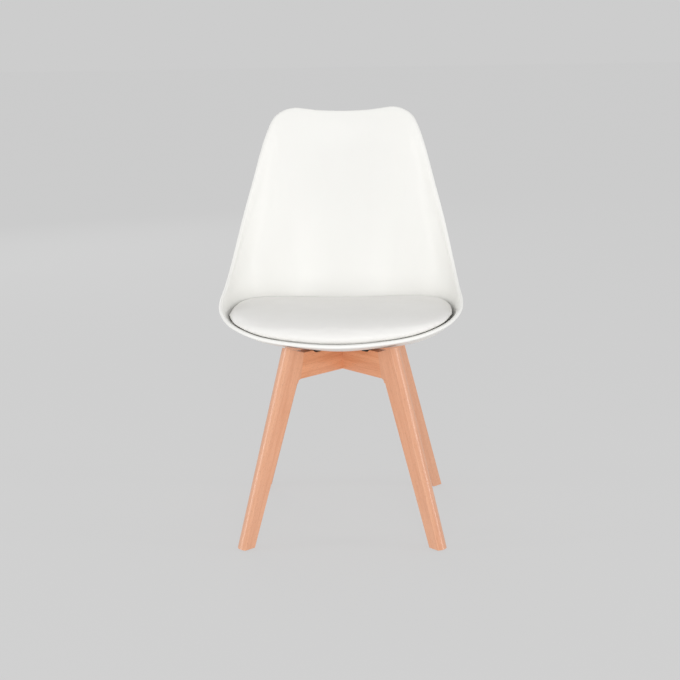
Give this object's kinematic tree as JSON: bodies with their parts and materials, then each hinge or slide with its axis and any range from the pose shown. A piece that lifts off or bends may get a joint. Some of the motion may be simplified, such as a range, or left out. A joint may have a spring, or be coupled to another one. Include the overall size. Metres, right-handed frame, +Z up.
{
  "type": "dining chair",
  "caption": "Side chair with a one-piece moulded bucket shell, a padded seat cushion and four splayed board legs joined by a crossed timber base.",
  "frame": {"origin": "on the floor under the middle of the chair's bounding box, on the axis where the two rails cross", "axes": "+X to the right seen from the front, +Y to the rear of the chair, +Z up"},
  "size_m": [0.478, 0.5257, 0.82],
  "materials": {
    "shell_pp": "satin moulded polypropylene",
    "cushion_leather": "fine-grain synthetic leather, satin",
    "foam": "open-cell foam",
    "plywood": "raw plywood",
    "rail_beech": "satin lacquer",
    "leg_beech": "satin lacquer",
    "dowel_beech": "raw",
    "black_steel": "black oxide",
    "zinc_steel": "zinc plated",
    "insert_brass": "machined",
    "black_rubber": "matt",
    "glide_nylon": "matt nylon"
  },
  "bodies": {
    "root": {"seat_shell": "shell_pp", "shell_inserts": "insert_brass", "cushion_cover": "cushion_leather", "cushion_foam": "foam", "cushion_board": "plywood", "cover_staples": "zinc_steel", "cushion_screws": "zinc_steel", "cross_rail_lower": "rail_beech", "cross_rail_upper": "rail_beech", "leg_front_right": "leg_beech", "leg_rear_right": "leg_beech", "leg_rear_left": "leg_beech", "leg_front_left": "leg_beech", "dowels_front_right": "dowel_beech", "dowels_rear_right": "dowel_beech", "dowels_rear_left": "dowel_beech", "dowels_front_left": "dowel_beech", "seat_bolts": "black_steel", "bolt_washers": "zinc_steel", "spring_washers": "zinc_steel", "spacer_pads": "black_rubber", "lap_screw": "zinc_steel", "glide_front_right": "glide_nylon", "glide_rear_right": "glide_nylon", "glide_rear_left": "glide_nylon", "glide_front_left": "glide_nylon"}
  },
  "joints": []
}
